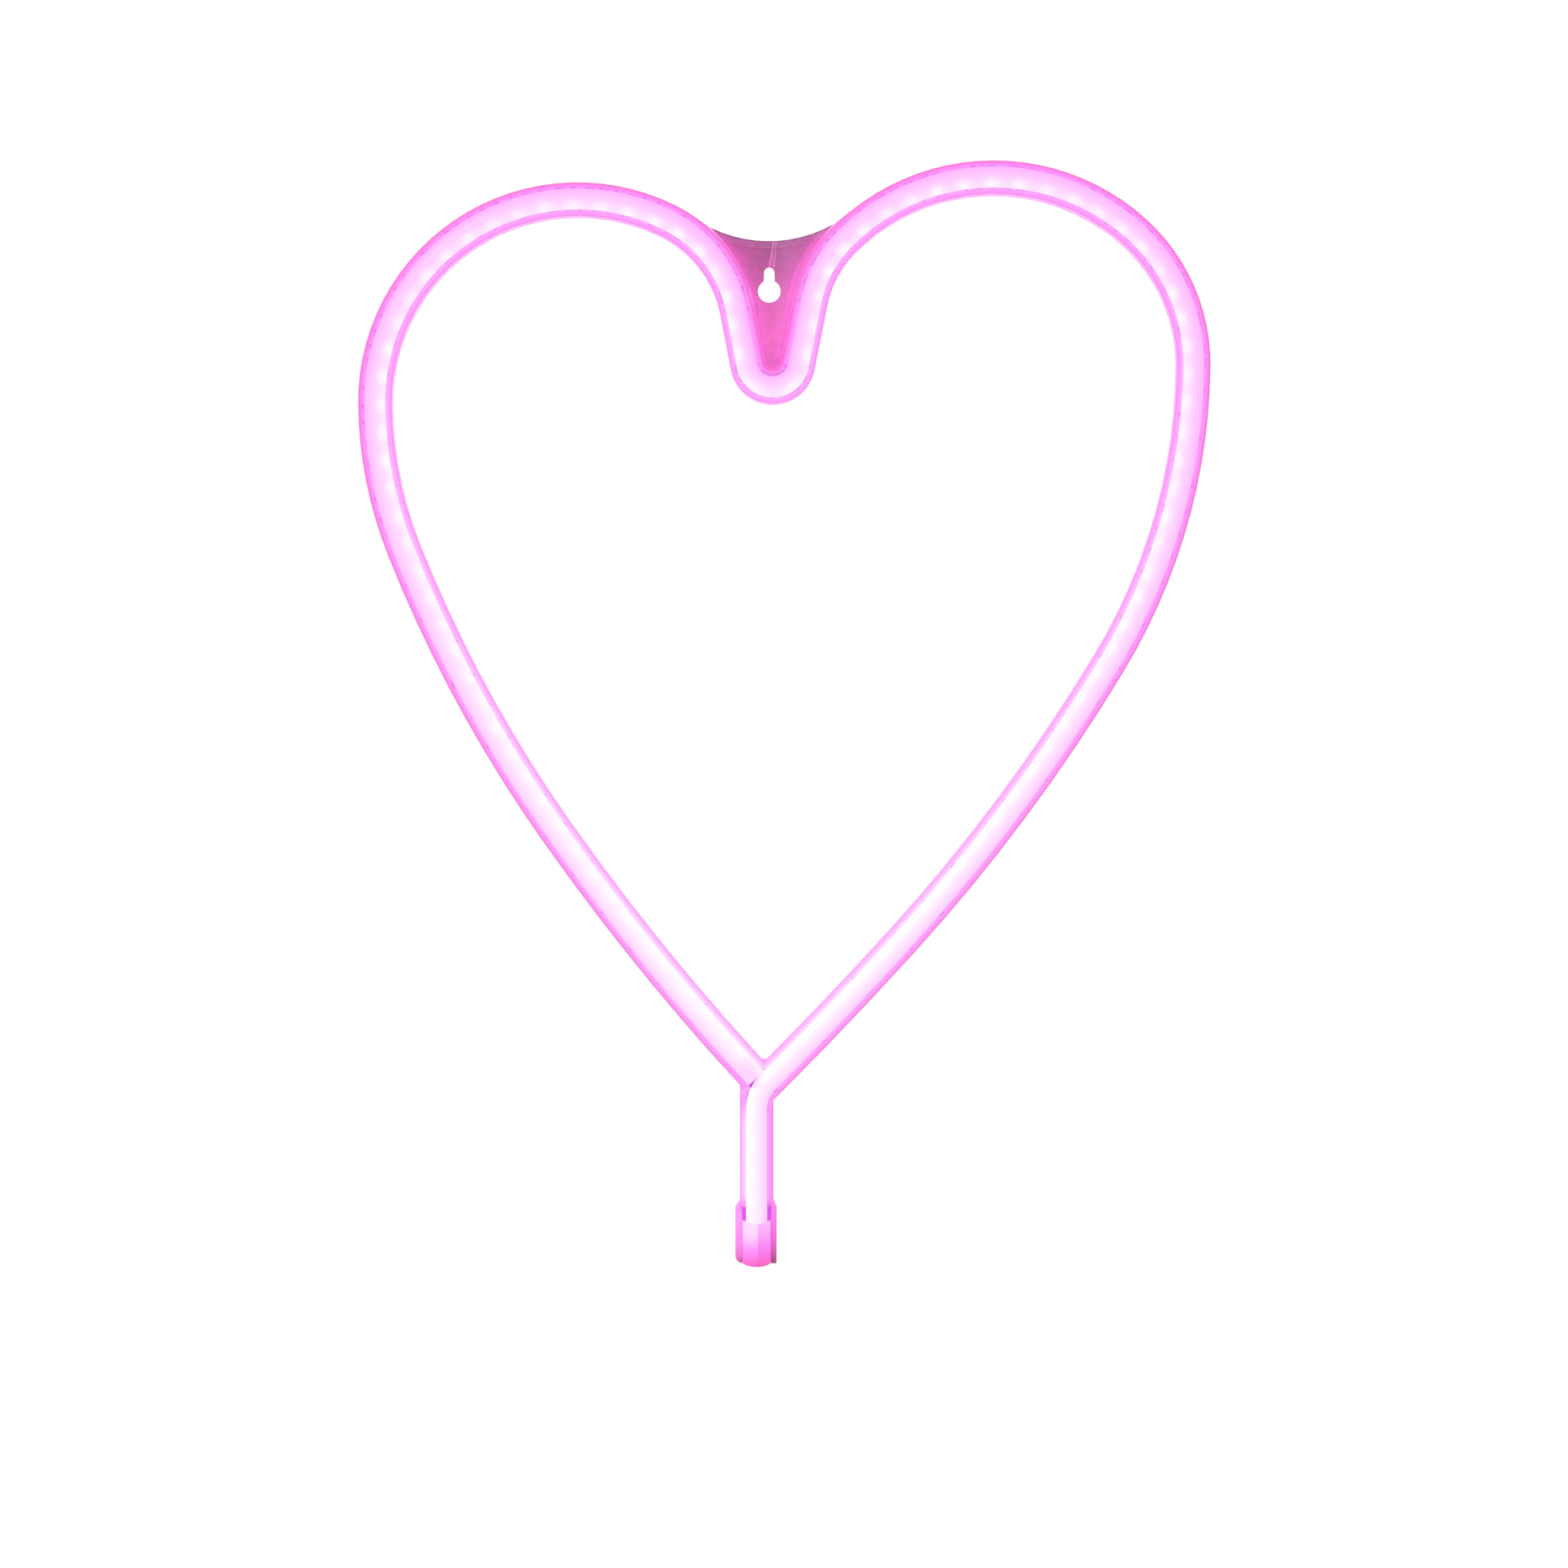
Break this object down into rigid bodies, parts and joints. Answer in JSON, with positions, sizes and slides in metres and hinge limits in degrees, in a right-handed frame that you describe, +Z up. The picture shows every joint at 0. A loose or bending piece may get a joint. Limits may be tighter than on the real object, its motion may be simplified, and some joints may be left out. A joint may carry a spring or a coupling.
{
  "type": "heart wall light",
  "caption": "Wall light shaped as a heart outline: a glowing neon-style silicone tube in a moulded tray, with a keyhole web between its lobes and a power inlet under its stem",
  "frame": {"origin": "centre of the keyhole's round hole, on the flat back plane that rests on the wall", "axes": "+Z up the heart, -Y is the lit front facing the room, +Y points into the wall, +X to the right seen from the front"},
  "size_m": [0.2422, 0.0154, 0.3142],
  "materials": {
    "tray_plastic": "moulded translucent plastic, lit pink by the tube",
    "tube_silicone": "milky silicone, lit from inside",
    "clear_silicone": "clear cured silicone",
    "board_film": "white solder mask on flexible film",
    "led_package": "moulded white package",
    "led_window": "phosphor resin",
    "resistor_black": "coated chip resistor",
    "solder": "bright solder",
    "lead_red": "insulated wire",
    "lead_black": "insulated wire",
    "contact_metal": "nickel plated",
    "inlet_plastic": "moulded insulator",
    "cap_plastic": "translucent moulded cap, lit from the tube's end"
  },
  "bodies": {
    "root": {"back_tray": "tray_plastic", "diffuser_tube": "tube_silicone", "tube_end_plug": "clear_silicone", "feed_board": "board_film", "far_board": "board_film", "led_packages": "led_package", "led_windows": "led_window", "chip_resistors": "resistor_black", "splice_solder": "solder", "lead_solder": "solder", "positive_lead": "lead_red", "negative_lead": "lead_black", "inlet_pin": "contact_metal", "inlet_contact": "contact_metal", "inlet_body": "inlet_plastic", "power_cap": "cap_plastic", "adhesive_beads": "clear_silicone"}
  },
  "joints": []
}
